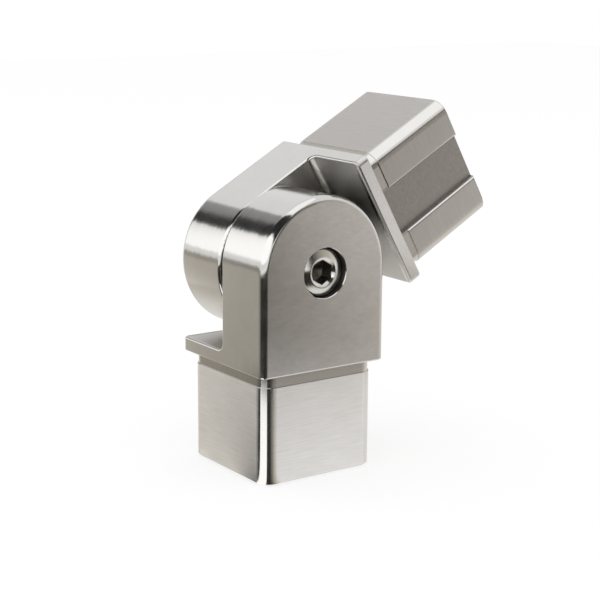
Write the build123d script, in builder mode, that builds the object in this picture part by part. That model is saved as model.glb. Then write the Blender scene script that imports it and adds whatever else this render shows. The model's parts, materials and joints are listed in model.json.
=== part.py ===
"""Profile pivot joint for 40 x 40 mm square tube, as an assembly of separate pieces.

Two near-identical castings, each a square plug, a flange and a half-width ear, are clamped ear to ear
by one M8 socket screw, which is also the pivot.  Millimetres.  The origin is the centre of the lower
plug's end, +Z runs up the lower tube's axis and +Y is the pivot axis, away from the screw's head.
"""
from build123d import *
import math
import os

os.makedirs("parts", exist_ok=True)

# ---------------------------------------------------------------- the tube the joint is made for
tube_width = 40.0            # outside of the square tube
tube_wall = 1.5
plug_clearance = 0.3         # plug to tube, each side

# ---------------------------------------------------------------- casting
plug_length = 30.0           # how far the plug goes into the tube
plug_corner_r = 4.0
plug_wall = 4.0              # the plug is cored out from its open end
core_corner_r = 2.5
core_floor_break = 2.0
plug_end_break = 0.5
seam_width = 13.5            # channel that clears the tube's weld seam
seam_depth = 1.5
seam_lip_r = 0.9
neck_height = 3.3            # shallow relief under the flange, so that the tube seats squarely
neck_depth = 0.3
flange_thickness = 4.0
pivot_above_flange = 22.4    # flange's inner face to the pivot axis
ear_overrun = 0.65           # centre of the ear's round end, beyond the pivot
ear_edge_r = 1.8             # outer edge of the ear, down to the tube seat
flange_corner_r = 1.5        # the flange's two corners away from the ear
mating_edge_r = 0.7          # round on the flange's inner edges and the ear's inner rim
seat_edge_r = 0.5            # round on the edges of the tube seat
root_r = 2.2                 # ear to flange, inside
rim_gap = 0.5                # between the two ears, outside the pads
pad_gap = 0.1                # between the two pads, as clearance for turning
pad_radius = 12.0            # machined pad round the screw

# ---------------------------------------------------------------- screw and washer, M8
screw_r = 4.0
screw_length = 25.0          # under the head
head_r = 6.5
head_height = 8.0
head_edge_r = 1.5
socket_flats = 6.0
socket_depth = 4.6
socket_turn = 2.0            # degrees the socket is turned from one vertex up
socket_mouth_r = 4.0         # countersink at the socket's mouth
washer_r = 6.35
washer_hole_r = 4.3
washer_thickness = 2.0
washer_split = 1.2
running_clearance = 0.075    # screw in the lower ear, radial
thread_clearance = 0.05      # plain stand-in for the thread, radial
counterbore_clearance = 0.3  # head in its counterbore, radial
head_recess = 1.0            # head below the ear's outer face
blind_spare = 2.5            # tapped hole beyond the screw's tip

# ---------------------------------------------------------------- pose at rest
bend_angle = 60.7            # upper half from straight, about +Y

# ---------------------------------------------------------------- sizes that follow
half_width = tube_width / 2
plug_half = half_width - tube_wall - plug_clearance
core_half = plug_half - plug_wall
seat_z = plug_length
flange_top_z = seat_z + flange_thickness
pivot_z = flange_top_z + pivot_above_flange
ear_centre_z = pivot_z + ear_overrun
ear_inner_y = -rim_gap / 2
pad_y = -pad_gap / 2
counterbore_depth = head_recess + head_height + washer_thickness
head_seat_y = -half_width + head_recess + head_height
washer_seat_y = head_seat_y + washer_thickness
tip_y = head_seat_y + screw_length
reach = 2 * half_width       # a length that is safely past any face


def profile_plane(y):
    """XZ sketch plane at depth y: sketch x is X, sketch y is Z, and it faces +Y."""
    return Plane(origin=(0, y, 0), x_dir=(-1, 0, 0), z_dir=(0, 1, 0))


# ================================================================ the casting both halves start from
# Built as the lower half: plug down, ear at the front (-Y), seam channel at the back.
with BuildPart() as casting:
    # square plug with rounded corners
    with BuildSketch(Plane.XY):
        RectangleRounded(2 * plug_half, 2 * plug_half, plug_corner_r)
    extrude(amount=seat_z + flange_thickness / 2)
    chamfer(casting.edges().group_by(Axis.Z)[0], plug_end_break)

    # shallow relief round the plug's root
    with BuildSketch(Plane.XY.offset(seat_z - neck_height)):
        Rectangle(reach, reach)
        RectangleRounded(2 * (plug_half - neck_depth), 2 * (plug_half - neck_depth),
                         plug_corner_r - neck_depth, mode=Mode.SUBTRACT)
    extrude(amount=neck_height, mode=Mode.SUBTRACT)

    # weld-seam channel, on the side away from the ear, with rounded lips
    with BuildSketch(Plane.XY) as seam:
        with Locations((0, plug_half)):
            Rectangle(seam_width + 2 * seam_lip_r, 2 * seam_depth)
        for side in (-1, 1):
            with Locations((side * (seam_width / 2 + seam_lip_r), plug_half - seam_lip_r)):
                Circle(seam_lip_r, mode=Mode.SUBTRACT)
            with Locations((side * (seam_width / 2 + seam_lip_r), plug_half - seam_depth)):
                Rectangle(2 * seam_lip_r, 2 * (seam_depth - seam_lip_r), mode=Mode.SUBTRACT)
    extrude(amount=seat_z, mode=Mode.SUBTRACT)

    # flange and ear as one outline: the ear is half the flange's width and ends in a half round
    with BuildSketch(Plane.XY.offset(seat_z)):
        Rectangle(tube_width, tube_width)
    extrude(amount=flange_thickness)
    far_corners = [e for e in casting.edges().filter_by(Axis.Z)
                   if e.center().Y > half_width - 0.01 and abs(e.center().X) > half_width - 0.01]
    fillet(far_corners, flange_corner_r)
    with BuildSketch(profile_plane(-half_width)):
        with Locations((0, (seat_z + ear_centre_z) / 2)):
            Rectangle(tube_width, ear_centre_z - seat_z)
        with Locations((0, ear_centre_z)):
            Circle(half_width)
    extrude(amount=half_width + ear_inner_y)

    # fillet where the ear's inner face meets the flange
    root = (casting.edges().filter_by(Axis.X)
            .filter_by_position(Axis.Z, flange_top_z - 0.01, flange_top_z + 0.01)
            .filter_by_position(Axis.Y, ear_inner_y - 0.01, ear_inner_y + 0.01))
    fillet(root, root_r)

    # generous fillet round the outer face, then small breaks on the other edges
    outer = [e for e in casting.edges().filter_by_position(Axis.Y, -half_width - 0.01, -half_width + 0.01)
             if e.bounding_box().size.Z > 1]
    fillet(outer, ear_edge_r)

    # small round along the flange's top, up the root fillet's ends and round the ear's inner face,
    # and a smaller one round the tube seat
    inner_loop = [e for e in casting.edges()
                  if e.bounding_box().min.Y > ear_inner_y - 0.01
                  and e.bounding_box().max.Z > flange_top_z - 0.01
                  and not (e.bounding_box().size.Z > flange_thickness / 2 and e.center().Y > 0)
                  and not (e.bounding_box().size.X > half_width and e.center().Y < half_width - 1
                           and e.center().Z < flange_top_z + root_r + 0.1)]
    fillet(inner_loop, mating_edge_r)
    seat_loop = [e for e in casting.edges().filter_by_position(Axis.Z, seat_z - 0.01, seat_z + 0.01)
                 if max(abs(e.center().X), abs(e.center().Y)) > plug_half + 0.5]
    fillet(seat_loop, seat_edge_r)

    # core that lightens the plug, open at its end
    with BuildSketch(Plane.XY):
        RectangleRounded(2 * core_half, 2 * core_half, core_corner_r)
    extrude(amount=seat_z, mode=Mode.SUBTRACT)
    core_floor = (casting.edges().filter_by_position(Axis.Z, seat_z - 0.01, seat_z + 0.01)
                  .filter_by(lambda e: max(abs(e.center().X), abs(e.center().Y)) < core_half + 0.01))
    chamfer(core_floor, core_floor_break)

    # machined pad round the screw, the only place where the two ears meet
    with BuildSketch(profile_plane(ear_inner_y)):
        with Locations((0, pivot_z)):
            Circle(pad_radius)
    extrude(amount=pad_y - ear_inner_y)

# ================================================================ lower half: counterbored, ear at the front
with BuildPart() as lower_half:
    add(casting.part)
    with BuildSketch(profile_plane(-half_width)):
        with Locations((0, pivot_z)):
            Circle(head_r + counterbore_clearance)
    extrude(amount=counterbore_depth, mode=Mode.SUBTRACT)
    with BuildSketch(profile_plane(-half_width)):
        with Locations((0, pivot_z)):
            Circle(screw_r + running_clearance)
    extrude(amount=half_width, mode=Mode.SUBTRACT)
    mouth = (lower_half.edges().filter_by(GeomType.CIRCLE)
             .filter_by_position(Axis.Y, -half_width - 0.01, -half_width + 0.01)
             .filter_by(lambda e: abs(e.radius - head_r - counterbore_clearance) < 0.01))
    chamfer(mouth, 0.15)
lower_half.part.label = "lower_half"
export_step(lower_half.part, "parts/lower_half.step")

# ================================================================ upper half: tapped, ear at the back
# The same casting turned end over end about the pivot, then bent over by the pose's angle.
turned_over = Pos(0, 0, pivot_z) * Rot(180, 0, 0) * Pos(0, 0, -pivot_z)
bent = Pos(0, 0, pivot_z) * Rot(0, bend_angle, 0) * Pos(0, 0, -pivot_z)
tapped_depth = tip_y + blind_spare
with BuildPart() as upper_half:
    add((bent * turned_over) * casting.part)
    # plain cylinder in place of the thread, blind, with the drill's cone at its end
    with BuildSketch(profile_plane(0)):
        with Locations((0, pivot_z)):
            Circle(screw_r + thread_clearance)
    extrude(amount=tapped_depth, mode=Mode.SUBTRACT)
    drill_r = screw_r + thread_clearance
    with Locations(Pos(0, tapped_depth, pivot_z) * Rot(-90, 0, 0)):
        Cone(drill_r, 0.2, drill_r * 0.55, align=(Align.CENTER, Align.CENTER, Align.MIN),
             mode=Mode.SUBTRACT)
upper_half.part.label = "upper_half"
export_step(upper_half.part, "parts/upper_half.step")

# ================================================================ pivot screw: M8 socket head cap screw
head_face_y = -half_width + head_recess
with BuildPart() as pivot_screw:
    with BuildSketch(profile_plane(head_face_y)):
        with Locations((0, pivot_z)):
            Circle(head_r)
    extrude(amount=head_height)
    rim = pivot_screw.edges().filter_by_position(Axis.Y, head_face_y - 0.01, head_face_y + 0.01)
    fillet(rim, head_edge_r)
    with BuildSketch(profile_plane(head_seat_y)):
        with Locations((0, pivot_z)):
            Circle(screw_r)
    extrude(amount=screw_length)
    tip = pivot_screw.edges().filter_by_position(Axis.Y, tip_y - 0.01, tip_y + 0.01)
    chamfer(tip, 0.8)
    # hexagon socket with a drilled cone at the bottom and a countersunk mouth
    with BuildSketch(profile_plane(head_face_y)):
        with Locations((0, pivot_z)):
            RegularPolygon(socket_flats / 2, 6, major_radius=False, rotation=30 + socket_turn)
    extrude(amount=socket_depth, mode=Mode.SUBTRACT)
    with Locations(Pos(0, head_face_y + socket_depth, pivot_z) * Rot(-90, 0, 0)):
        Cone(socket_flats / 2 - 0.1, 0.2, 1.2, align=(Align.CENTER, Align.CENTER, Align.MIN),
             mode=Mode.SUBTRACT)
    with Locations(Pos(0, head_face_y, pivot_z) * Rot(-90, 0, 0)):
        Cone(socket_mouth_r, socket_flats / 2 - 0.2, 0.75, align=(Align.CENTER, Align.CENTER, Align.MIN),
             mode=Mode.SUBTRACT)
pivot_screw.part.label = "pivot_screw"
export_step(pivot_screw.part, "parts/pivot_screw.step")

# ================================================================ spring lock washer under the head
with BuildPart() as lock_washer:
    with BuildSketch(profile_plane(head_seat_y)):
        with Locations((0, pivot_z)):
            Circle(washer_r)
            Circle(washer_hole_r, mode=Mode.SUBTRACT)
    extrude(amount=washer_thickness)
    # the split runs through the ring at a slant
    with Locations(Pos(0, head_seat_y + washer_thickness / 2, pivot_z) * Rot(0, 35, 0)
                   * Pos(0, 0, (washer_r + washer_hole_r) / 2) * Rot(0, 0, 25)):
        Box(washer_split, 2 * washer_thickness, washer_r - washer_hole_r + 2, mode=Mode.SUBTRACT)
lock_washer.part.label = "lock_washer"
export_step(lock_washer.part, "parts/lock_washer.step")

for piece in (lower_half, upper_half, pivot_screw, lock_washer):
    box = piece.part.bounding_box()
    print(piece.part.label, "volume", round(piece.part.volume), "mm3, from",
          [round(v, 2) for v in box.min], "to", [round(v, 2) for v in box.max])
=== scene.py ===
# %% [markdown]
# # Dressing a profile pivot joint
#
# The joint is two stainless castings that are clamped ear to ear by one socket screw, so that two
# square tubes can meet at any angle.  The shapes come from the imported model, which is loaded as a
# fixed frame.  This script adds what a solid model leaves out: how each surface was finished, the
# rolled thread and the knurl on the screw, and a small studio to look at it all in.
#
# Every length is in metres.  +Z runs up the lower tube, and +Y is the pivot axis, away from the
# screw's head.

# %% The frame
import json
import math

import bpy
from mathutils import Matrix, Vector


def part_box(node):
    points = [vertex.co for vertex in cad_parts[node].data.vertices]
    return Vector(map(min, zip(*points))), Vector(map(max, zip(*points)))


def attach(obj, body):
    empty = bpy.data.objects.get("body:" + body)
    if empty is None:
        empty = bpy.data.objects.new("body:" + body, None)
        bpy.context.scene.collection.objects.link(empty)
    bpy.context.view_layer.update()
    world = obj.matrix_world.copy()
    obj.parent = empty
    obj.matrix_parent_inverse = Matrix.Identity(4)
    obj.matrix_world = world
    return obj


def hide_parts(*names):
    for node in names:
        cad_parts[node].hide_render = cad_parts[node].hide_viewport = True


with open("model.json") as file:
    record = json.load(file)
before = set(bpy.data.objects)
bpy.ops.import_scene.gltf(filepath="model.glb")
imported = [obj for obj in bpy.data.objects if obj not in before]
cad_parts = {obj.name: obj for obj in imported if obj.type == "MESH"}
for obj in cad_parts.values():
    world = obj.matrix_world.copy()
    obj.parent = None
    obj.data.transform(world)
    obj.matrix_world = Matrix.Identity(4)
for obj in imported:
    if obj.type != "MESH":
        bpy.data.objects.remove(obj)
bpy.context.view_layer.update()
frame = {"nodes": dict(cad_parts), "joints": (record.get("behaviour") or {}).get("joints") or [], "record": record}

MM = 0.001
print("nodes:", sorted(frame["nodes"]))

# %% [markdown]
# ## Where things are
#
# No place is typed in twice.  The pivot comes from the hinge, the seats and the upper half's
# direction from the mounts in the record, and the screw's ends from its own box.

# %% Places read from the frame
joints = {joint["name"]: joint for joint in frame["joints"]}
mounts = {mount["name"]: mount for mount in frame["record"]["mounts"]}
pivot = Vector(joints["bend"]["pos_m"])
seat_z = mounts["lower_seat"]["pos_m"][2]
upper_axis = Vector(mounts["upper_seat"]["axis"])
bend_angle = math.atan2(upper_axis.x, upper_axis.z)
print("pivot", tuple(round(v, 4) for v in pivot), "bend", round(math.degrees(bend_angle), 1), "degrees")

# %% [markdown]
# ## The camera
#
# A product shot of a small part is taken from well back with a long lens, which keeps its edges
# almost parallel.  The camera could be aimed with a Track To constraint.  It is placed by the way
# it looks instead, as a heading, a tilt and a roll, because those can be read and changed one by
# one.

# %% The camera
camera_place = Vector((-0.23955, -0.34984, 0.13986))
camera_heading = math.radians(35.05)      # from +Y towards +X
camera_tilt = math.radians(12.55)         # downwards
camera_roll = math.radians(0.32)
camera_data = bpy.data.cameras.new("camera")
camera_data.lens = 94.6
camera_data.sensor_width = 36.0
camera = bpy.data.objects.new("camera", camera_data)
camera.matrix_world = (Matrix.Translation(camera_place)
                       @ Matrix.Rotation(-camera_heading, 4, "Z")
                       @ Matrix.Rotation(math.pi / 2 - camera_tilt, 4, "X")
                       @ Matrix.Rotation(camera_roll, 4, "Z"))
bpy.context.scene.collection.objects.link(camera)
bpy.context.scene.camera = camera
bpy.context.scene.view_settings.view_transform = "Standard"
print("camera", round((camera_place - pivot).length, 3), "m from the pivot")


# %% [markdown]
# ## Two helpers
#
# Colours are easiest to write as the hex values that a screen shows, but shaders work in linear
# light, so one function converts them.
#
# The other adds a node.  It sets what is a plain value and links what is another node, which
# keeps each material below as short as a recipe.  A node such as Mix or Math has more sockets
# than it shows, and shows the ones that its settings call for.  The helper therefore makes the
# settings first and then fills only the sockets that show.

# %% Colour and node helpers
def linear(hex_colour):
    """sRGB hex, as on a screen, to the linear RGBA that shaders use."""
    channels = [int(hex_colour[i:i + 2], 16) / 255 for i in (1, 3, 5)]
    return [c / 12.92 if c <= 0.04045 else ((c + 0.055) / 1.055) ** 2.4 for c in channels] + [1.0]


def add(tree, kind, *inputs, **settings):
    """Add one node with its settings and links.

    inputs fill the sockets that show, from the top down, or come as one dictionary that fills
    them by name.  Each is a plain value, a node's output, or a node, which means the first output
    that it shows.
    """
    node = tree.nodes.new(kind)
    for name, value in settings.items():
        setattr(node, name, value)
    sockets = [socket for socket in node.inputs if socket.enabled]
    if inputs and isinstance(inputs[0], dict):
        filled = [(next(socket for socket in sockets if socket.name == name), value)
                  for name, value in inputs[0].items()]
    else:
        filled = zip(sockets, inputs)
    for socket, value in filled:
        if isinstance(value, bpy.types.Node):
            value = next(output for output in value.outputs if output.enabled)
        if isinstance(value, bpy.types.NodeSocket):
            tree.links.new(value, socket)
        else:
            socket.default_value = value
    return node


def new_material(name):
    """An empty node material, and its output node."""
    material = bpy.data.materials.new(name)
    material.use_nodes = True
    material.node_tree.nodes.clear()
    return material, material.node_tree.nodes.new("ShaderNodeOutputMaterial")


print("steel grey in linear light:", [round(c, 3) for c in linear("#CCCAC6")])

# %% [markdown]
# ## The studio
#
# Polished metal has hardly any colour of its own.  What the eye reads as steel is the room it
# mirrors.  An image of a real room could be wrapped round the part for that, but a room that is
# built can be reasoned about: a pale floor and backdrop, one wall of soft light on the left and
# one soft light overhead.
#
# The world is the backdrop.  At a strength of 1 it is plain white, as bright as a sheet of paper
# and no brighter.  The floor is ordinary matt paint, so that it keeps the joint's shadow, mixed
# with a little glow for the rays that come from the camera or from a mirror.  The glow is what
# lets a white floor stay white without turning the lamps up.

# %% Backdrop and floor
def flat_card(name, corners, material):
    """A single flat sheet with the given corners."""
    mesh = bpy.data.meshes.new(name)
    mesh.from_pydata([tuple(corner) for corner in corners], [], [range(len(corners))])
    mesh.materials.append(material)
    card = bpy.data.objects.new(name, mesh)
    bpy.context.scene.collection.objects.link(card)
    return card


def level_square(half, z):
    """The corners of a level square with its middle above or below the origin."""
    return [(x * half, y * half, z) for x, y in ((-1, -1), (1, -1), (1, 1), (-1, 1))]


white = linear("#FFFFFF")
white_level = 1.0
world = bpy.data.worlds.new("pale studio")
bpy.context.scene.world = world
world.use_nodes = True
backdrop = world.node_tree.nodes["Background"].inputs
backdrop["Color"].default_value = white
backdrop["Strength"].default_value = white_level

floor_half, floor_z = 1.5, -0.3 * MM
glow_share = 0.7
floor_paint, output = new_material("matt white floor paint")
tree = floor_paint.node_tree
paint = add(tree, "ShaderNodeBsdfDiffuse", linear("#F8F8F8"))
glow = add(tree, "ShaderNodeEmission", white, white_level)
rays = add(tree, "ShaderNodeLightPath").outputs
seen = add(tree, "ShaderNodeMath", rays["Is Camera Ray"], rays["Is Glossy Ray"], operation="MAXIMUM")
seen = add(tree, "ShaderNodeMath", seen, glow_share, operation="MULTIPLY")
mixed = add(tree, "ShaderNodeMixShader", seen, paint, glow)
tree.links.new(mixed.outputs[0], output.inputs["Surface"])
flat_card("floor", level_square(floor_half, floor_z), floor_paint)
print("floor", 2 * floor_half, "m wide")

# %% [markdown]
# ## Two soft lights
#
# The wall light is long, so that the ear's outline mirrors it from end to end.  The overhead
# light fills in the top faces.
#
# An area light is easiest to judge by how bright its face looks, so the helper takes that as a
# level, where 1 is white paper, and works out the power: a flat lamp that shines evenly has a
# face brightness of power / (pi x area).

# %% Wall light and overhead light
def soft_light(name, centre, facing, width, height, level):
    """A rectangular light whose face is `level` times as bright as white paper."""
    lamp = bpy.data.lights.new(name, "AREA")
    lamp.shape = "RECTANGLE"
    lamp.size, lamp.size_y = width, height
    lamp.energy = math.pi * width * height * level
    light = bpy.data.objects.new(name, lamp)
    light.matrix_world = (Matrix.Translation(Vector(centre))
                          @ Vector(facing).to_track_quat("-Z", "Y").to_matrix().to_4x4())
    bpy.context.scene.collection.objects.link(light)
    return light


wall_x = -0.9
wall_angles = (5.5, 42.4)                 # of its lower and upper edge, seen from the pivot
wall_low, wall_high = [pivot.z - wall_x * math.tan(math.radians(angle)) for angle in wall_angles]
wall_near, wall_far = -6.0, 1.7
soft_light("wall light", centre=(wall_x, (wall_near + wall_far) / 2, (wall_low + wall_high) / 2),
           facing=(1, 0, 0), width=wall_far - wall_near, height=wall_high - wall_low, level=0.6)
soft_light("overhead light", centre=(0.075, -0.5, pivot.z + 1.0), facing=(0, 0, -1),
           width=0.75, height=1.5, level=0.4)
print("wall light from", round(wall_low, 3), "to", round(wall_high, 3), "m high")

# %% [markdown]
# ## Cards that only reflections see
#
# Without anything dark in the room, polished steel looks like white plastic.  A studio hangs
# black cards between its lights, and lays grey ones on the table, so that dark bands run along
# the rounded edges.  The cards here do the same.  They are hidden from every ray but the glossy
# ones, so they neither show nor shade.
#
# The black one hangs level, half a metre above the pivot, between the wall light and the
# overhead light.  Its outer edge is straight, and its inner edge bends over towards the camera.
# Behind the joint a grey veil joins on, so that the dark band fades out on its upper side.

# %% The black card and the veil between the two lights
def reflection_card(name, corners, material):
    """A card that only glossy reflections see, so that it never blocks the view or the light."""
    card = flat_card(name, corners, material)
    card.visible_camera = card.visible_diffuse = card.visible_shadow = False
    card.visible_transmission = card.visible_volume_scatter = False
    return card


def hanging_card(name, level, outline):
    """A level card between the lights, with an even glow."""
    paper, output = new_material(name)
    glow = add(paper.node_tree, "ShaderNodeEmission", white, level)
    paper.node_tree.links.new(glow.outputs[0], output.inputs["Surface"])
    return reflection_card(name, [(x, y, pivot.z + card_height) for x, y in outline], paper)


card_height = 0.5                         # above the pivot
outer_edge = -card_height / math.tan(math.radians(44.5))
bend_in = [(-0.55, 3.0), (-0.22, 0.75), (-0.18, 0.27)]      # the edge that both cards share
hanging_card("black card", 0.03, [(outer_edge, -3.0), (outer_edge, 3.0), *bend_in, (-0.16, 0.0),
                                  (-0.11, -0.28), (0.025, -0.68), (0.30, -1.5), (0.30, -3.0)])
hanging_card("grey veil", 0.35, [*reversed(bend_in), (0.15, 3.0), (-0.03, 0.75)])
print("black card's outer edge at", round(outer_edge, 3), "m")

# %% [markdown]
# The table card lies on the floor and is painted in sectors, like a colour wheel of greys.  It
# could be an image, but a ramp over the azimuth says in numbers where each grey starts.
#
# The card has four wheels, one outside the other.  The near wheel is centred on the plug's front
# corner, so that the corner's small fillet draws its white line and its two dark ones at the same
# width from top to bottom.  The middle wheel is what the lower ear sees.  The one past it is the
# same but for a white patch, which gives the round along the ear's right edge its bright line.
# The outer wheel is what the upper half sees.  Grey card is a little warm, and the white parts
# are hardly so.

# %% Paint for grey cards
def grey_wheel(tree, centre, stops):
    """Greys by azimuth about a centre.  stops are (degrees from +Y towards +X, level), -180 to 180."""
    place = add(tree, "ShaderNodeTexCoord").outputs["Object"]
    offset = add(tree, "ShaderNodeVectorMath", place, (*centre, 0), operation="SUBTRACT")
    axes = add(tree, "ShaderNodeSeparateXYZ", offset).outputs
    azimuth = add(tree, "ShaderNodeMath", axes["X"], axes["Y"], operation="ARCTAN2")
    ramp = add(tree, "ShaderNodeValToRGB", add(tree, "ShaderNodeMapRange", azimuth, -math.pi, math.pi))
    elements = ramp.color_ramp.elements
    while len(elements) < len(stops):
        elements.new(0.5)
    brightest = max(level for _, level in stops)
    for element, (degrees, level) in zip(elements, stops):
        element.position = (degrees + 180) / 360
        element.color = [level / brightest] * 3 + [1.0]
    return add(tree, "ShaderNodeMath", ramp, brightest, operation="MULTIPLY")


def grey_card(tree, level, output):
    """Glow at the level, warm where it is grey and nearly neutral where it is white."""
    whiteness = add(tree, "ShaderNodeMapRange", level, 0.7, 1.0)
    tint = add(tree, "ShaderNodeMix", whiteness, linear("#FFF8EA"), linear("#FFFEFD"), data_type="RGBA")
    glow = add(tree, "ShaderNodeEmission", tint, level)
    tree.links.new(glow.outputs[0], output.inputs["Surface"])


near_stops = [(-180, 0.41), (-174, 0.31), (-165, 0.16), (-158, 0.04), (-137, 0.04), (-134, 1.6),
              (-85, 1.6), (-82, 0.04), (-68, 0.04), (-58, 0.1), (-50, 0.18), (-40, 0.28), (-36, 0.3),
              (-30, 0.46), (-24, 0.6), (-16, 0.65), (-8, 0.78), (2, 0.9), (40, 0.9), (100, 1.02),
              (155, 1.02), (165, 0.75), (180, 0.41)]
middle_stops = [(-180, 0.03), (-98, 0.04), (-85, 0.16), (-72, 0.3), (-50, 0.44), (-36, 0.5),
                (-32, 0.66), (-27, 0.8), (-20, 0.9), (60, 0.9), (100, 0.85), (136, 0.75), (140, 0.64),
                (142.5, 0.42), (147, 0.33), (150, 0.23), (154, 0.12), (158, 0.05), (163, 0.03),
                (180, 0.03)]
white_patch = (132, 148, 1.08)            # from and to, in degrees, and its level
past_stops = [(degrees, white_patch[2] if white_patch[0] <= degrees <= white_patch[1] else level)
              for degrees, level in middle_stops]
outer_stops = [(-180, 1.2), (-95, 1.2), (-70, 0.5), (-50, 0.3), (-34, 0.3), (-28, 0.7), (-20, 0.9),
               (60, 0.95), (128, 1.0), (144, 1.0), (150, 0.3), (160, 0.1), (167, 0.3), (172, 1.2),
               (180, 1.2)]
print("greys on the table card:", len(near_stops), len(middle_stops), len(past_stops), len(outer_stops))

# %% The table card
plug_corner = (-14.2 * MM, -14.2 * MM)    # centre of the round on the plug's front corner
table_half, table_z = 1.3, -0.1 * MM
table_card, output = new_material("grey sector card")
tree = table_card.node_tree
distance = add(tree, "ShaderNodeVectorMath", add(tree, "ShaderNodeTexCoord").outputs["Object"],
               operation="LENGTH")
level = grey_wheel(tree, plug_corner, near_stops)
for stops, begins, ends in ((middle_stops, 108 * MM, 120 * MM), (past_stops, 280 * MM, 320 * MM),
                            (outer_stops, 440 * MM, 580 * MM)):
    past = add(tree, "ShaderNodeMapRange", distance, begins, ends)
    level = add(tree, "ShaderNodeMix", past, level, grey_wheel(tree, (0, 0), stops))
grey_card(tree, level, output)
reflection_card("table card", level_square(table_half, table_z), table_card)
print("table card", 2 * table_half, "m wide")

# %% [markdown]
# Another card stands behind the camera, as the dark half of the room does.  It bends round the
# joint and grows lighter to the right, which gives the ear's flat face and the fillet round it
# their slow change from left to right.  Six flat panels are smooth enough for that, because the
# paint goes by the azimuth and not by the panel.

# %% The screen behind the camera
def standing_corners(start, end, distance, top):
    """The corners of a panel that stands on the floor between two azimuths, in degrees."""
    ends = [(distance * math.sin(a), distance * math.cos(a)) for a in map(math.radians, (start, end))]
    return [(*ends[0], floor_z), (*ends[1], floor_z), (*ends[1], top), (*ends[0], top)]


screen_stops = [(-180, 0.05), (120, 1.0), (125, 0.85), (132, 0.7), (137, 0.58), (143, 0.54),
                (147, 0.44), (150, 0.38), (154, 0.32), (160, 0.12), (165, 0.05), (180, 0.05)]
screen_distance = 1.25
screen_top = pivot.z + screen_distance * math.tan(math.radians(25))
screen_from, screen_to, panel_width = 122, 170, 8         # degrees
screen_paint, output = new_material("grey screen")
tree = screen_paint.node_tree
grey_card(tree, grey_wheel(tree, (0, 0), screen_stops), output)
for number, start in enumerate(range(screen_from, screen_to, panel_width)):
    reflection_card("screen panel %d" % (number + 1),
                    standing_corners(start, start + panel_width, screen_distance, screen_top),
                    screen_paint)
print("screen up to", round(screen_top, 2), "m")

# %% [markdown]
# A low grey board stands far behind the joint.  The top of the lower flange lies flat and looks
# along the table, so without the board it would show nothing but white.

# %% The low board behind
board_distance = 1.2
board_top = seat_z + board_distance * math.tan(math.radians(14))
board_paint, output = new_material("grey board")
grey_card(board_paint.node_tree, 0.33, output)
reflection_card("grey board", standing_corners(8, 75, board_distance, board_top), board_paint)
print("board up to", round(board_top, 2), "m")

# %% [markdown]
# ## Stainless castings, finished five ways
#
# Both halves are investment castings in stainless steel, and each surface shows what was done to
# it after casting:
#
# * the plug's faces were ground on a belt that runs round the plug, which leaves fine level lines
#   and spreads every reflection up and down,
# * the plug's corners, the ear's outline and the flange's edges were polished on a soft wheel,
# * the flat face of the ear was linished, so it is satin with faint clouds,
# * the neck just under the flange is a shade darker,
# * the seam channel and the inside of the plug are as they came from the mould.
#
# Five materials could be given to five groups of faces, but then every border is as hard as the
# mesh.  One material does it all here.  Masks worked out from the place and the direction of the
# surface pick the finish and fade at their borders.  The upper half is the same casting turned
# over, so its coordinates are first turned back into the upright casting, and the same masks fit.

# %% Sizes the finishes are picked by
upright = Matrix.Identity(4)
turned_over = (Matrix.Translation(pivot) @ Matrix.Rotation(math.pi, 4, "X")
               @ Matrix.Rotation(-bend_angle, 4, "Y") @ Matrix.Translation(-pivot))
half_width = 20.0 * MM                    # of the flange and the ear
plug_half = 18.2 * MM
core_half = plug_half - 4.0 * MM          # the plug is hollow
neck_z = seat_z - 3.3 * MM
flange_top_z = seat_z + 4.0 * MM
channel_half = 7.6 * MM
channel_floor = plug_half - 1.5 * MM
bore_r = 7.0 * MM
print("neck from", round(neck_z / MM, 1), "to", round(seat_z / MM, 1), "mm")


# %% Masks
def where(tree, *limits):
    """A mask that is 1 where every limit holds.

    A limit is another mask, or a value with the number at which it is 0 and the one at which it is 1.
    """
    mask = None
    for limit in limits:
        if isinstance(limit, tuple):
            limit = add(tree, "ShaderNodeMapRange", *limit)
        mask = limit if mask is None else add(tree, "ShaderNodeMath", mask, limit, operation="MULTIPLY")
    return mask


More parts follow.
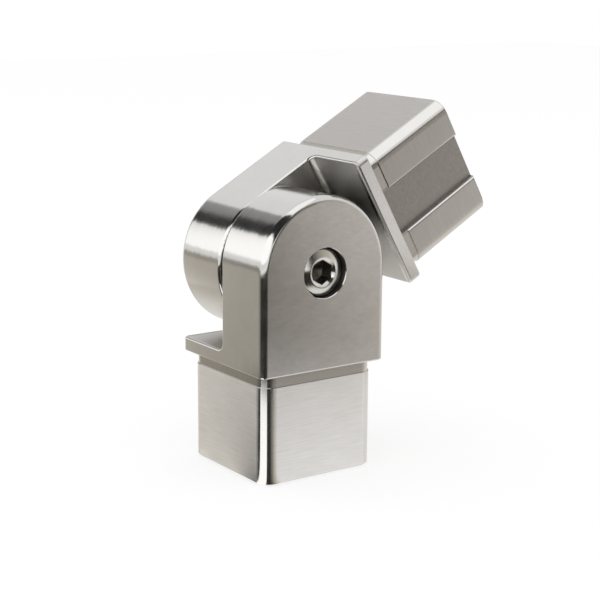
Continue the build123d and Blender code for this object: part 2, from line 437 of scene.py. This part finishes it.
def casting_masks(tree, place, facing):
    """The mask of each finish, from a place on the upright casting and the direction it faces.

    Most borders fade over a few hundredths of a millimetre, and those on rounds over a few degrees.
    """
    x, y, z = add(tree, "ShaderNodeSeparateXYZ", place).outputs
    either_side = add(tree, "ShaderNodeVectorMath", place, operation="ABSOLUTE")
    off_x, off_y, _ = add(tree, "ShaderNodeSeparateXYZ", either_side).outputs
    either_way = add(tree, "ShaderNodeVectorMath", facing, operation="ABSOLUTE")
    face_x, face_y, face_z = add(tree, "ShaderNodeSeparateXYZ", either_way).outputs
    sideways = add(tree, "ShaderNodeMath", face_x, face_y, operation="MAXIMUM")
    squarest = add(tree, "ShaderNodeMath", sideways, face_z, operation="MAXIMUM")
    from_middle = add(tree, "ShaderNodeMath", off_x, off_y, operation="MAXIMUM")
    from_pivot = add(tree, "ShaderNodeVectorMath", place, pivot, operation="SUBTRACT")
    from_pivot = add(tree, "ShaderNodeVectorMath", from_pivot, (1, 0, 1), operation="MULTIPLY")
    from_pivot = add(tree, "ShaderNodeVectorMath", from_pivot, operation="LENGTH")

    on_plug = where(tree, (z, seat_z - 0.01 * MM, seat_z - 0.06 * MM))
    off_plug = where(tree, (on_plug, 0.9, 0.1))
    in_channel = where(tree, (off_x, channel_half, channel_half - 0.2 * MM),
                       (y, channel_floor - 0.25 * MM, channel_floor - 0.15 * MM),
                       (y, plug_half - 0.25 * MM, plug_half - 0.35 * MM), on_plug)
    in_core = where(tree, (from_middle, core_half + 0.15 * MM, core_half + 0.05 * MM), on_plug)
    level = where(tree, (face_z, 0.7, 0.9))
    inside_flange = where(tree, level, (z, flange_top_z + 4.0 * MM, flange_top_z + 2.0 * MM))
    outline = where(tree, (face_y, 0.25, 0.03), (inside_flange, 0.9, 0.1))
    return {
        "on plug": on_plug,
        "plug face": where(tree, on_plug, (sideways, 0.95, 0.998)),
        "below neck": where(tree, (z, neck_z + 0.05 * MM, neck_z - 0.05 * MM)),
        "as cast": add(tree, "ShaderNodeMath", in_channel, in_core, operation="MAXIMUM"),
        "level": level,
        "inside flange": inside_flange,
        "ear face": where(tree, (face_y, 0.97, 0.995)),
        "outline": outline,
        "outline off plug": where(tree, outline, off_plug),
        "bore": where(tree, (from_pivot, bore_r + 0.2 * MM, bore_r - 0.1 * MM),
                      (off_y, half_width - 0.1 * MM, half_width - 0.4 * MM)),
        "flange rounds": where(tree, (squarest, 0.998, 0.98), off_plug, (y, 0.0, 1.0 * MM),
                               (z, flange_top_z + 0.6 * MM, flange_top_z + 0.1 * MM)),
        "flange edge": where(tree, (y, half_width - 2.0 * MM, half_width - 1.5 * MM),
                             (z, flange_top_z + 1.0 * MM, flange_top_z + 0.5 * MM)),
    }


print("plug hollow to", round(core_half / MM, 1), "mm each side, channel",
      round(2 * channel_half / MM, 1), "mm wide")

# %% [markdown]
# Every pattern is noise that is stretched to the size of the marks a tool leaves.  A grinding belt
# or a polishing wheel leaves lines about a tenth of a millimetre apart.  That is too fine to show
# at this distance, so the lines are drawn four times as coarse, which is the finest that shows.
# The lines also lean the surface a little, because a ground face is a row of tiny furrows.

# %% Patterns
def stretched_noise(tree, place, lengths, detail=3.0):
    """Noise whose features are as long as `lengths` along X, Y and Z."""
    per_metre = [1 / length for length in lengths]
    scaled = add(tree, "ShaderNodeVectorMath", place, per_metre, operation="MULTIPLY")
    return add(tree, "ShaderNodeTexNoise", {"Vector": scaled, "Scale": 1.0, "Detail": detail,
                                            "Roughness": 0.6})


def casting_patterns(tree, place):
    """What the belt, the wheels and the mould leave on a casting."""
    return {
        "belt lines": stretched_noise(tree, place, (9 * MM, 9 * MM, 0.4 * MM)),
        "wheel lines": stretched_noise(tree, place, (20 * MM, 0.4 * MM, 20 * MM)),
        "satin": stretched_noise(tree, place, (2.2 * MM, 2.2 * MM, 0.8 * MM)),
        "mould grain": stretched_noise(tree, place, (0.9 * MM, 0.9 * MM, 0.9 * MM), 2.0),
        "clouds": stretched_noise(tree, place, (7 * MM, 7 * MM, 5 * MM)),
    }


belt_swing, wheel_swing = 0.045, 0.11     # how far the lines lean the surface, from side to side
mould_relief = 0.06 * MM
print("lines lean the surface", round(math.degrees(belt_swing / 2), 1), "degrees at most on the plug",
      "and", round(math.degrees(wheel_swing / 2), 1), "on the ear's outline")


# %% Roughness and colour of the castings
def casting_roughness(tree, masks, patterns):
    """From polished, 0.09, to as cast.  The later lines lie over the earlier ones."""
    ground = add(tree, "ShaderNodeMix", masks["below neck"], 0.24, 0.40)
    rough = 0.09
    for mask, finish in (("outline", 0.16), ("inside flange", 0.36), ("ear face", 0.26),
                         ("flange edge", 0.15), ("flange rounds", 0.3), ("on plug", 0.13),
                         ("plug face", ground), ("as cast", 0.46), ("bore", 0.5)):
        rough = add(tree, "ShaderNodeMix", masks[mask], rough, finish)
    clouds = add(tree, "ShaderNodeMapRange", patterns["clouds"], 0.3, 0.7, -0.02, 0.02)
    clouded = where(tree, (masks["ear face"], 1.0, 0.0), (masks["level"], 1.0, 0.0))
    return add(tree, "ShaderNodeMath", clouds, clouded, rough, operation="MULTIPLY_ADD")


def casting_colour(tree, masks, patterns, ground_and_painted_light_shades):
    """Nearly one grey, but lighter on a ground plug and darker on the neck and as cast.  The ground plug's shades
    also hold painted light and shade: light on the lower half, darker on the upper for the same finish.  The bore
    is painted near black, a painted shade in its hollow.
    """
    clouds = patterns["clouds"]
    satin = add(tree, "ShaderNodeMath", clouds, patterns["satin"], operation="ADD")
    satin = add(tree, "ShaderNodeMapRange", satin, 0.7, 1.3)
    belt = add(tree, "ShaderNodeMapRange", patterns["belt lines"], 0.3, 0.7)
    belt = add(tree, "ShaderNodeMath", belt, clouds, operation="ADD")
    belt = add(tree, "ShaderNodeMath", belt, 0.5, operation="MULTIPLY")
    colour = linear("#CAC8C5")
    for mask, pattern, dark, light in (
            (clouds, None, None, "#D2D1CF"),
            (masks["ear face"], satin, "#C0BDBA", "#CAC7C5"),
            (masks["plug face"], None, None, "#ADA9A3"),
            # painted light and shade: the ground plug's shades are light on the lower half and darker on the
            # upper, for one and the same finish
            (where(tree, masks["plug face"], masks["below neck"]), belt, *ground_and_painted_light_shades),
            # painted shade: the bore is coloured near black for the shade in its hollow
            (masks["bore"], None, None, "#4E4B47"),
            (masks["as cast"], patterns["mould grain"], "#9E9A95", "#B4B0AC")):
        shade = linear(light)
        if pattern is not None:
            shade = add(tree, "ShaderNodeMix", pattern, linear(dark), shade, data_type="RGBA")
        colour = add(tree, "ShaderNodeMix", mask, colour, shade, data_type="RGBA")
    return colour


print("finishes from roughness 0.09, polished, to 0.5, in the bore")


# %% Relief and the spread of reflections
def casting_relief(tree, masks, patterns, outward, axis):
    """The surface's direction, leant by the lines and roughened by the mould's grain.

    The lines lean it along the tube on the plug, and round the ear on the ear's outline.
    """
    round_the_ear = add(tree, "ShaderNodeVectorMath", outward, (0, 1, 0), operation="CROSS_PRODUCT")
    lean_to = add(tree, "ShaderNodeMix", masks["on plug"], round_the_ear, axis, data_type="VECTOR")
    wheel, belt = [add(tree, "ShaderNodeMapRange", patterns[lines], 0, 1, -swing / 2, swing / 2)
                   for lines, swing in (("wheel lines", wheel_swing), ("belt lines", belt_swing))]
    wheel = add(tree, "ShaderNodeMath", wheel, masks["outline"], operation="MULTIPLY")
    lean = add(tree, "ShaderNodeMix", masks["plug face"], wheel, belt)
    leant = add(tree, "ShaderNodeVectorMath", lean_to, lean, operation="SCALE")
    leant = add(tree, "ShaderNodeVectorMath", outward, leant, operation="ADD")
    leant = add(tree, "ShaderNodeVectorTransform", leant, vector_type="NORMAL",
                convert_from="OBJECT", convert_to="WORLD")
    grain = add(tree, "ShaderNodeMath", patterns["mould grain"], masks["as cast"], operation="MULTIPLY")
    return add(tree, "ShaderNodeBump", {"Height": grain, "Strength": 1.0, "Distance": mould_relief,
                                        "Normal": leant})


def casting_spread(tree, masks, axis):
    """The tangent: along the pivot on the ear's outline and level faces, along the tube elsewhere."""
    along_pivot = add(tree, "ShaderNodeMath", masks["outline off plug"], masks["level"],
                      operation="MAXIMUM")
    spread = add(tree, "ShaderNodeMix", along_pivot, axis, (0, 1, 0), data_type="VECTOR")
    return add(tree, "ShaderNodeVectorTransform", spread, vector_type="VECTOR",
               convert_from="OBJECT", convert_to="WORLD")


print("mould grain", round(mould_relief / MM, 2), "mm high")


# %% The castings' material
def cast_stainless(name, to_casting, axis, ground_and_painted_light_shades):
    """Stainless casting, ground, polished, linished or raw, with a darker neck.

    Brushed reflections on the plug and mirror-like bands on the outline are what give it away.
    to_casting turns this half into the upright casting, and axis is its tube's direction.
    """
    material, output = new_material(name)
    tree = material.node_tree
    source = add(tree, "ShaderNodeTexCoord").outputs
    turn = to_casting.to_euler("XYZ")
    place = add(tree, "ShaderNodeMapping", source["Object"], to_casting.translation, turn)
    facing = add(tree, "ShaderNodeMapping", source["Normal"], turn, vector_type="VECTOR")
    masks = casting_masks(tree, place, facing)
    patterns = casting_patterns(tree, place)
    steel = add(tree, "ShaderNodeBsdfPrincipled", {
        "Base Color": casting_colour(tree, masks, patterns, ground_and_painted_light_shades), "Metallic": 1.0,
        "Roughness": casting_roughness(tree, masks, patterns), "Anisotropic": 0.7,
        "Tangent": casting_spread(tree, masks, axis),
        "Normal": casting_relief(tree, masks, patterns, source["Normal"], axis)})
    tree.links.new(steel.outputs[0], output.inputs["Surface"])
    return material


# painted light and shade: the same ground finish gets light shades on the lower half and darker ones on the upper,
# as each half catches the light
for node_name, to_casting, axis, ground_and_painted_light_shades in (
        ("lower_half", upright, Vector((0, 0, 1)), ("#D8D6D4", "#EFEEED")),
        ("upper_half", turned_over, upper_axis, ("#B8B3AF", "#C9C5C2"))):
    casting = frame["nodes"][node_name]
    casting.material_slots[0].material = cast_stainless("cast stainless " + node_name.split("_")[0],
                                                        to_casting, axis, ground_and_painted_light_shades)
    print(node_name, "dressed as", casting.material_slots[0].material.name)

# %% [markdown]
# ## The screw, turned on a lathe of nodes
#
# The solid model has a plain cylinder where the real screw has a rolled thread and a knurled head.
# A Screw modifier can wind a thread, but it leaves no knurl, socket or clean ends.  All of them
# follow rules round one axis, so Geometry Nodes turn the whole screw at once.
#
# The object that carries the modifier is only half a drawing: one vertex for each ring of the
# screw, with the ring's radius as X and its place along the pivot axis as Y.  Three numbers on
# each vertex say how far it is hexagonal, knurled or threaded.  The tree lays a grid with one row
# for each ring, rolls it up round the axis, and merges the seam and the two poles.
#
# At the countersunk mouth the hexagon's corners reach further out than its flats, so there the
# ring has to dip as it widens.  The slope of the countersink is the vertex's Z.

# %% The screw's sizes
head_y = mounts["hex_drive"]["pos_m"][1]
under_head_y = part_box("lock_washer")[0][1]
tip_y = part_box("pivot_screw")[1][1]
head_r, shank_r = 6.5 * MM, 4.0 * MM
crest_r, thread_pitch, thread_depth = 3.95 * MM, 1.25 * MM, 0.72 * MM
knurl_depth, knurls, columns = 0.12 * MM, 60.0, 120      # two columns of points for each knurl
flats_half, hexagon_turn = 3.0 * MM, math.radians(-2.0)
socket_floor, drill_point = head_y + 4.6 * MM, 1.2 * MM
mouth_r, mouth_slope = 4.0 * MM, 0.625
dome_r, dome_from, dome_to = 21.0 * MM, 4.05 * MM, 6.3 * MM      # the head's face is slightly domed
thread_from, thread_to = under_head_y + 1.0 * MM, tip_y - 0.8 * MM
print("screw from", round(head_y / MM, 1), "to", round(tip_y / MM, 1), "mm along the pivot axis")


# %% The drawing, ring by ring
def ring(radius, y, slope=0.0, hexagon=0.0, knurl=0.0, thread=0.0):
    """One ring of the screw, in the order of the drawing's columns."""
    return radius, y, slope, hexagon, knurl, thread


crisp = 0.02 * MM                         # two rings this close make a crisp edge
socket = [ring(0.0, socket_floor + drill_point), ring(2.9 * MM, socket_floor),
          ring(flats_half, socket_floor - crisp, hexagon=1),
          ring(flats_half, head_y + (mouth_r - flats_half) * mouth_slope, slope=mouth_slope, hexagon=1),
          ring(mouth_r - 0.05 * MM, head_y + crisp), ring(mouth_r + 0.05 * MM, head_y)]

dome, dome_rings = [], 7
for number in range(1, dome_rings + 1):
    radius = dome_from + (dome_to - dome_from) * number / dome_rings
    depth = math.sqrt(dome_r ** 2 - dome_from ** 2) - math.sqrt(dome_r ** 2 - radius ** 2)
    dome.append(ring(radius, head_y + depth))
dome += [ring(dome_to + out * MM, head_y + depth + back * MM)
         for out, back in ((0.1, 0.07), (0.17, 0.17), (0.2, 0.35))]

knurl_from, knurl_to, knurl_fade = head_y + 2.0 * MM, under_head_y - 0.7 * MM, 0.15 * MM
head = [ring(head_r, knurl_from), ring(head_r, knurl_from + knurl_fade, knurl=1),
        ring(head_r, knurl_to - knurl_fade, knurl=1), ring(head_r, knurl_to),
        ring(head_r, under_head_y - 0.2 * MM), ring(head_r - 0.2 * MM, under_head_y)]

shank = [ring(shank_r, under_head_y), ring(crest_r, under_head_y + 0.3 * MM)]
thread_steps = 220
for number in range(thread_steps + 1):
    y = thread_from + (thread_to - thread_from) * number / thread_steps
    shank.append(ring(crest_r, y, thread=min(1.0, (y - thread_from) / thread_pitch)))
shank += [ring(crest_r - thread_depth, tip_y - crisp), ring(crest_r - thread_depth - 0.03 * MM, tip_y),
          ring(0.0, tip_y)]

rings = socket + dome + head + shank
drawing = bpy.data.meshes.new("screw drawing")
drawing.from_pydata([values[:3] for values in rings], [(i, i + 1) for i in range(len(rings) - 1)], [])
for column, name in ((3, "hexagon"), (4, "knurl"), (5, "thread")):
    attribute = drawing.attributes.new(name, "FLOAT", "POINT")
    attribute.data.foreach_set("value", [float(values[column]) for values in rings])
print("screw drawn with", len(rings), "rings, thread", round((thread_to - thread_from) / MM, 1), "mm")

# %% [markdown]
# The tree is arithmetic on each point of the grid: which ring it is on, how far round it is, and
# from those its radius and its place along the axis.  The angle is measured from the hexagon,
# because a hexagon keeps its sharp corners only where points lie exactly on them.

# %% The lathe: which ring, and how far round
lathe = bpy.data.node_groups.new("lathe for knurl and thread", "GeometryNodeTree")
lathe.interface.new_socket("Geometry", in_out="OUTPUT", socket_type="NodeSocketGeometry")
for name, kind in (("Geometry", "Geometry"), ("Columns", "Int"), ("Axis Place", "Vector"),
                   ("Hexagon Half", "Float"), ("Hexagon Turn", "Float"), ("Knurls", "Float"),
                   ("Knurl Depth", "Float"), ("Thread Pitch", "Float"), ("Thread Depth", "Float"),
                   ("Material", "Material")):
    lathe.interface.new_socket(name, in_out="INPUT", socket_type="NodeSocket" + kind)

given = add(lathe, "NodeGroupInput").outputs
ring_count = add(lathe, "GeometryNodeAttributeDomainSize", given["Geometry"]).outputs["Point Count"]
last_ring = add(lathe, "ShaderNodeMath", ring_count, 1, operation="SUBTRACT")
grid_columns = add(lathe, "ShaderNodeMath", given["Columns"], 1, operation="ADD")
grid = add(lathe, "GeometryNodeMeshGrid", last_ring, given["Columns"], ring_count, grid_columns)
here = add(lathe, "GeometryNodeInputPosition")
grid_x, grid_y, _ = add(lathe, "ShaderNodeSeparateXYZ", here).outputs
ring_number = add(lathe, "ShaderNodeMath", last_ring, 0.5, grid_x, operation="MULTIPLY_ADD")
ring_number = add(lathe, "ShaderNodeMath", ring_number, operation="ROUND")
column_angle = add(lathe, "ShaderNodeMath", 2 * math.pi, given["Columns"], operation="DIVIDE")
from_hexagon = add(lathe, "ShaderNodeMath", grid_y, column_angle, operation="MULTIPLY")
turned = add(lathe, "ShaderNodeMath", from_hexagon, given["Hexagon Turn"], operation="ADD")

drawn = {}
for name in ("hexagon", "knurl", "thread"):
    column = add(lathe, "GeometryNodeInputNamedAttribute", name, data_type="FLOAT")
    drawn[name] = add(lathe, "GeometryNodeSampleIndex", given["Geometry"], column, ring_number,
                      data_type="FLOAT")
outline = add(lathe, "GeometryNodeSampleIndex", given["Geometry"], here, ring_number,
              data_type="FLOAT_VECTOR")
drawn["radius"], drawn["along"], drawn["slope"] = add(lathe, "ShaderNodeSeparateXYZ", outline).outputs
print("lathe turns", ", ".join(sorted(drawn)))

# %% The lathe: hexagon, knurl and thread
# the hexagon is nearest at the middle of its flats, and its corners are 30 degrees to either side
corner_angle = math.pi / 6
off_flat = add(lathe, "ShaderNodeMath", from_hexagon, corner_angle, -corner_angle, operation="WRAP")
off_flat = add(lathe, "ShaderNodeMath", off_flat, operation="COSINE")
hexagon_r = add(lathe, "ShaderNodeMath", given["Hexagon Half"], off_flat, operation="DIVIDE")
reach = add(lathe, "ShaderNodeMath", hexagon_r, given["Hexagon Half"], operation="SUBTRACT")
reach = add(lathe, "ShaderNodeMath", reach, drawn["hexagon"], operation="MULTIPLY")
dip = add(lathe, "ShaderNodeMath", reach, drawn["slope"], operation="MULTIPLY")
along = add(lathe, "ShaderNodeMath", drawn["along"], dip, operation="SUBTRACT")

# the knurl is a wave round the head
wave = add(lathe, "ShaderNodeMath", turned, given["Knurls"], operation="MULTIPLY")
wave = add(lathe, "ShaderNodeMath", wave, operation="COSINE")
wave = add(lathe, "ShaderNodeMath", wave, -0.5, 0.5, operation="MULTIPLY_ADD")
wave = add(lathe, "ShaderNodeMath", wave, drawn["knurl"], operation="MULTIPLY")
knurl_cut = add(lathe, "ShaderNodeMath", wave, given["Knurl Depth"], operation="MULTIPLY")

# the thread has a flat crest, a straight flank and a flat root, and is one pitch on after each turn
turns = add(lathe, "ShaderNodeMath", turned, 2 * math.pi, operation="DIVIDE")
pitches = add(lathe, "ShaderNodeMath", along, given["Thread Pitch"], operation="DIVIDE")
flank = add(lathe, "ShaderNodeMath", pitches, turns, operation="ADD")
flank = add(lathe, "ShaderNodeMath", flank, 0.5, operation="PINGPONG")
groove = add(lathe, "ShaderNodeMapRange", flank, 0.0625, 0.375)
groove = add(lathe, "ShaderNodeMath", groove, drawn["thread"], operation="MULTIPLY")
thread_cut = add(lathe, "ShaderNodeMath", groove, given["Thread Depth"], operation="MULTIPLY")

radius = add(lathe, "ShaderNodeMath", drawn["radius"], reach, operation="ADD")
for cut in (knurl_cut, thread_cut):
    radius = add(lathe, "ShaderNodeMath", radius, cut, operation="SUBTRACT")
print("lathe with", len(lathe.nodes), "nodes so far")

# %% The lathe: roll up and smooth
cosine, sine = [add(lathe, "ShaderNodeMath", turned, operation=share) for share in ("COSINE", "SINE")]
across, up = [add(lathe, "ShaderNodeMath", radius, share, operation="MULTIPLY")
              for share in (cosine, sine)]
rolled = add(lathe, "ShaderNodeCombineXYZ", across, along, up)
placed = add(lathe, "ShaderNodeVectorMath", rolled, given["Axis Place"], operation="ADD")
edge_angle = add(lathe, "GeometryNodeInputMeshEdgeAngle").outputs["Unsigned Angle"]
gentle = add(lathe, "ShaderNodeMath", edge_angle, math.radians(24), operation="LESS_THAN")
body = add(lathe, "GeometryNodeSetPosition", {"Geometry": grid, "Position": placed})
body = add(lathe, "GeometryNodeMergeByDistance", {"Geometry": body, "Distance": 0.002 * MM})
for domain, smooth in (("FACE", True), ("EDGE", gentle)):
    body = add(lathe, "GeometryNodeSetShadeSmooth", {"Geometry": body, "Shade Smooth": smooth},
               domain=domain)
body = add(lathe, "GeometryNodeRealizeInstances", body)
body = add(lathe, "GeometryNodeSetMaterial", {"Geometry": body, "Material": given["Material"]})
lathe.links.new(body.outputs[0], add(lathe, "NodeGroupOutput").inputs[0])
print("lathe with", len(lathe.nodes), "nodes")

# %% [markdown]
# ## Turned stainless
#
# The screw and the washer are turned parts.  A lathe tool leaves rings a few hundredths of a
# millimetre apart, too fine to show.  They are drawn at a quarter of a millimetre as a faint
# change of shade, and their effect on reflections is made by anisotropy: it spreads them outwards
# from the axis on flat faces and lengthways on the sides.  The Tangent for that is worked out from
# the pivot axis and the surface's own direction.  The socket was punched and is duller, and its
# dark grey is a painted shade for its hollow.

# %% Screw and washer finish
def turned_stainless(name, colour, roughness):
    """Bright turned stainless.  Reflections that spread across the tool's rings give the look."""
    material, output = new_material(name)
    tree = material.node_tree
    source = add(tree, "ShaderNodeTexCoord").outputs
    from_pivot = add(tree, "ShaderNodeVectorMath", source["Object"], pivot, operation="SUBTRACT")
    y = add(tree, "ShaderNodeSeparateXYZ", source["Object"]).outputs["Y"]
    outwards = add(tree, "ShaderNodeVectorMath", from_pivot, (1, 0, 1), operation="MULTIPLY")
    radius = add(tree, "ShaderNodeVectorMath", outwards, operation="LENGTH")
    dull_socket_painted_shade = where(tree, (radius, 3.5 * MM, 3.4 * MM), (y, head_y + 0.4 * MM, head_y + 0.8 * MM),
                      (y, under_head_y + 1.0 * MM, under_head_y))
    rough = add(tree, "ShaderNodeMapRange", stretched_noise(tree, source["Object"], [0.5 * MM] * 3),
                0.3, 0.7, roughness - 0.03, roughness + 0.03)
    rough = add(tree, "ShaderNodeMix", dull_socket_painted_shade, rough, 0.26)
    tool_rings = add(tree, "ShaderNodeTexNoise", {"W": radius, "Scale": 1 / (0.25 * MM), "Detail": 2.0},
                     noise_dimensions="1D")
    shade = add(tree, "ShaderNodeMix", tool_rings, linear(colour), linear("#DAD8D5"), data_type="RGBA")
    # painted shade: the socket is coloured dark grey for the shade in its hollow
    shade = add(tree, "ShaderNodeMix", dull_socket_painted_shade, shade, linear("#77736C"), data_type="RGBA")
    round_axis = add(tree, "ShaderNodeVectorMath", outwards, (0, 1, 0), operation="CROSS_PRODUCT")
    across_rings = add(tree, "ShaderNodeVectorMath", round_axis, source["Normal"],
                       operation="CROSS_PRODUCT")
    across_rings = add(tree, "ShaderNodeVectorTransform", across_rings, vector_type="VECTOR",
                       convert_from="OBJECT", convert_to="WORLD")
    steel = add(tree, "ShaderNodeBsdfPrincipled", {
        "Base Color": shade, "Metallic": 1.0, "Roughness": rough, "Anisotropic": 0.75,
        "Tangent": across_rings})
    tree.links.new(steel.outputs[0], output.inputs["Surface"])
    return material


screw_steel = turned_stainless("turned stainless screw", "#CCCAC6", 0.15)
washer_steel = turned_stainless("spring stainless washer", "#B8B5AF", 0.25)
frame["nodes"]["lock_washer"].material_slots[0].material = washer_steel
print("dressed", screw_steel.name, "and", washer_steel.name)

# %% [markdown]
# ## The finished screw
#
# The drawing gets the lathe as its modifier, and the result is kept as a plain mesh, because a
# part that is handed on should not depend on its tools.  The new screw moves with the screw of
# the solid model and stands in for it.

# %% The threaded screw
blank = bpy.data.objects.new("screw blank", drawing)
bpy.context.scene.collection.objects.link(blank)
modifier = blank.modifiers.new("lathe", "NODES")
modifier.node_group = lathe
settings = {"Columns": columns, "Axis Place": (0.0, 0.0, pivot.z), "Hexagon Half": flats_half,
            "Hexagon Turn": hexagon_turn, "Knurls": knurls, "Knurl Depth": knurl_depth,
            "Thread Pitch": thread_pitch, "Thread Depth": thread_depth, "Material": screw_steel}
for item in lathe.interface.items_tree:
    if item.in_out == "INPUT" and item.name in settings:
        modifier[item.identifier] = settings[item.name]
bpy.context.view_layer.update()
screw_mesh = bpy.data.meshes.new_from_object(blank.evaluated_get(bpy.context.evaluated_depsgraph_get()))
bpy.data.objects.remove(blank)
screw = bpy.data.objects.new("threaded_screw", screw_mesh)
bpy.context.scene.collection.objects.link(screw)
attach(screw, "screw")
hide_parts("pivot_screw")
print("threaded screw with", len(screw_mesh.polygons), "faces")
